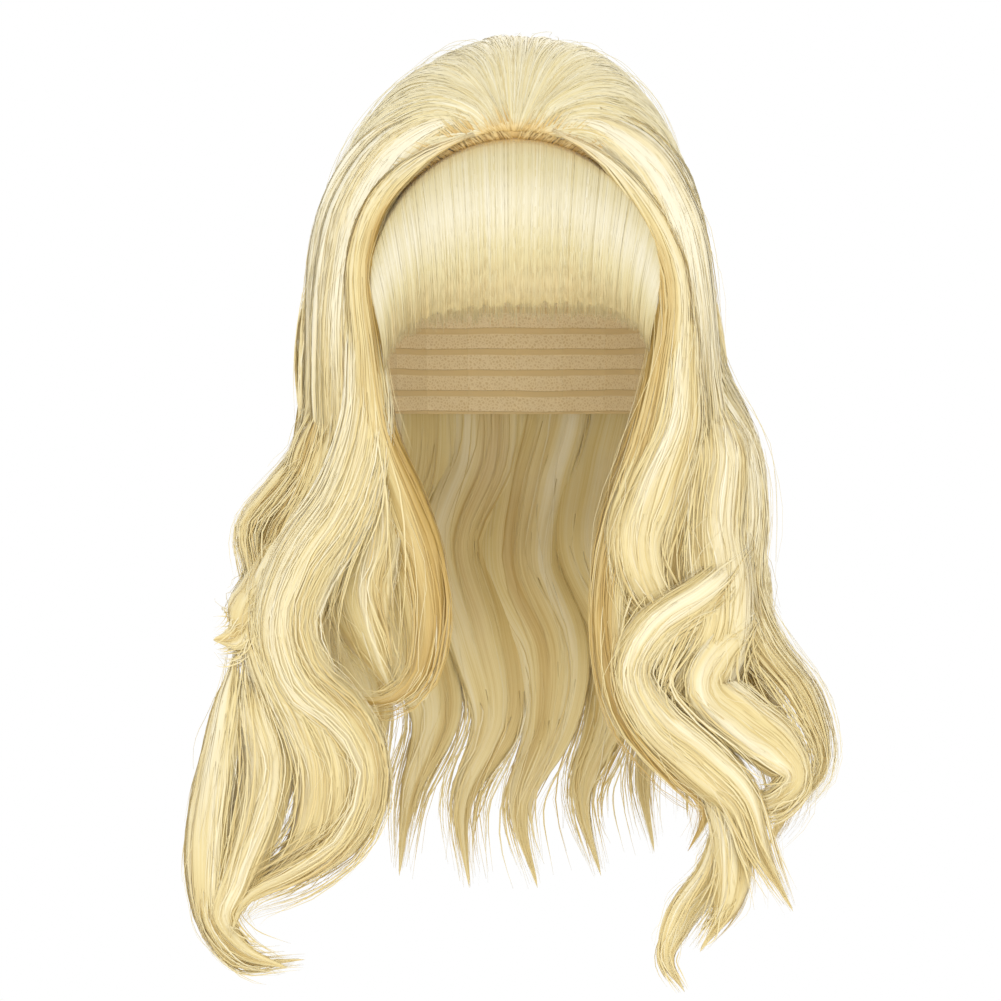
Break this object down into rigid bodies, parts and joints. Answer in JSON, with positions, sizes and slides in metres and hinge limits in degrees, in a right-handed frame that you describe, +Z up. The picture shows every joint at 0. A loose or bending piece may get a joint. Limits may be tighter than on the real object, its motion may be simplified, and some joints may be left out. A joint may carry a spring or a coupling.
{
  "type": "beehive wig",
  "caption": "Blonde beehive wig: a net cap that fits a head, a padded crown combed back from a headband line, a straight fringe and long waved locks at the sides and back.",
  "frame": {"origin": "top of the cap's hollow, where the wig sits on the crown of a head", "axes": "+Z up, -Y the way that the wearer's face looks, +X to the right of somebody who looks at the face"},
  "size_m": [0.3344, 0.2496, 0.4987],
  "materials": {
    "cap_net": "matte stretch net with sewn hair wefts",
    "crown_hair": "satin pale blonde synthetic fibre, combed back",
    "fringe_hair": "satin pale blonde synthetic fibre, straight",
    "fall_hair": "satin golden blonde synthetic fibre, waved"
  },
  "bodies": {
    "root": {"cap": "cap_net", "crown": "crown_hair", "fringe": "fringe_hair", "left_fall": "fall_hair", "right_fall": "fall_hair", "back_fall": "fall_hair"}
  },
  "joints": []
}
